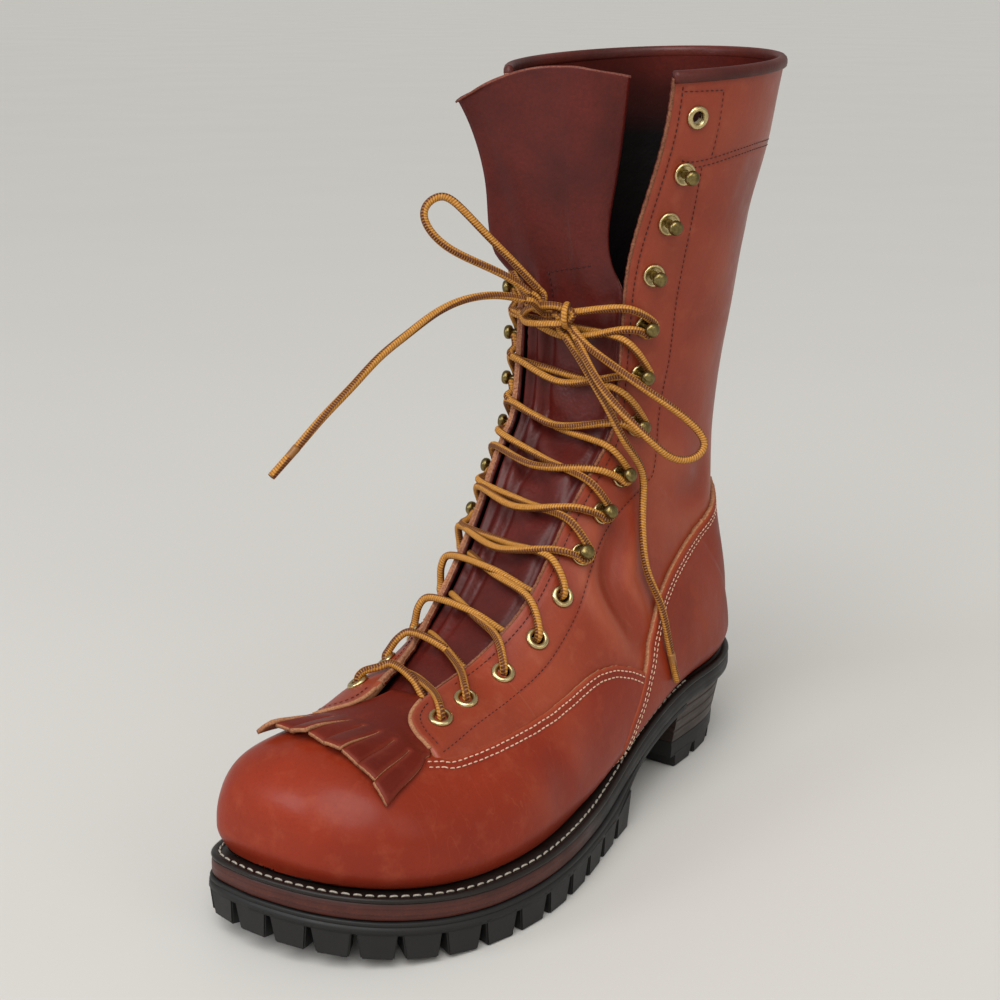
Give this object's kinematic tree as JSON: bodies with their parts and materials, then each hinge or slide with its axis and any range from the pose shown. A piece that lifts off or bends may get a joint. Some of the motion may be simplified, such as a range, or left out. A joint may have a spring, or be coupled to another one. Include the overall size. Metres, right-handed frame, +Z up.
{
  "type": "lineman boot",
  "caption": "Tall lace-up lineman work boot for the left foot: smooth leather upper open at the collar and throat, fringed flap over the vamp, stacked leather heel and lugged rubber sole.",
  "frame": {"origin": "centre of the boot's box at the floor, without the free lace", "axes": "-Y towards the toe, +X towards the outer side of the left foot, +Z up"},
  "size_m": [0.1232, 0.3324, 0.3334],
  "materials": {
    "rubber": "matte moulded rubber",
    "sole_leather": "burnished leather edge",
    "welt_leather": "black dyed leather",
    "stacked_leather": "stained stacked leather",
    "insole_leather": "plain vegetable-tanned leather",
    "red_leather": "smooth oiled leather",
    "tongue_leather": "soft leather",
    "vamp_leather": "smooth oiled leather",
    "counter_leather": "smooth oiled leather",
    "strap_leather": "smooth oiled leather",
    "binding_leather": "rolled leather binding",
    "kiltie_leather": "smooth oiled leather",
    "golden_brass": "polished",
    "antique_brass": "antique",
    "lace_cord": "round woven cord"
  },
  "bodies": {
    "root": {"outsole": "rubber", "midsole": "sole_leather", "welt": "welt_leather", "heel_stack": "stacked_leather", "heel_cap": "rubber", "insole": "insole_leather", "upper": "red_leather", "tongue": "tongue_leather", "vamp": "vamp_leather", "counter": "counter_leather", "pull_strap": "strap_leather", "collar_binding": "binding_leather", "kiltie": "kiltie_leather", "lateral_eyelet_1": "golden_brass", "lateral_eyelet_2": "golden_brass", "lateral_eyelet_3": "golden_brass", "lateral_eyelet_4": "golden_brass", "lateral_eyelet_5": "golden_brass", "lateral_eyelet_6": "golden_brass", "lateral_hook_1": "antique_brass", "lateral_hook_2": "antique_brass", "lateral_hook_3": "antique_brass", "lateral_hook_4": "antique_brass", "lateral_hook_5": "antique_brass", "lateral_hook_6": "antique_brass", "lateral_hook_7": "antique_brass", "lateral_hook_8": "antique_brass", "lateral_hook_9": "antique_brass", "medial_eyelet_1": "golden_brass", "medial_eyelet_2": "golden_brass", "medial_eyelet_3": "golden_brass", "medial_eyelet_4": "golden_brass", "medial_eyelet_5": "golden_brass", "medial_eyelet_6": "golden_brass", "medial_hook_1": "antique_brass", "medial_hook_2": "antique_brass", "medial_hook_3": "antique_brass", "medial_hook_4": "antique_brass", "medial_hook_5": "antique_brass", "medial_hook_6": "antique_brass", "medial_hook_7": "antique_brass", "medial_hook_8": "antique_brass", "medial_hook_9": "antique_brass", "lace_crossings": "lace_cord", "bow_knot": "lace_cord", "bow_loop_medial": "lace_cord", "bow_loop_lateral": "lace_cord", "lace_end_medial": "lace_cord", "lace_end_lateral": "lace_cord"}
  },
  "joints": []
}
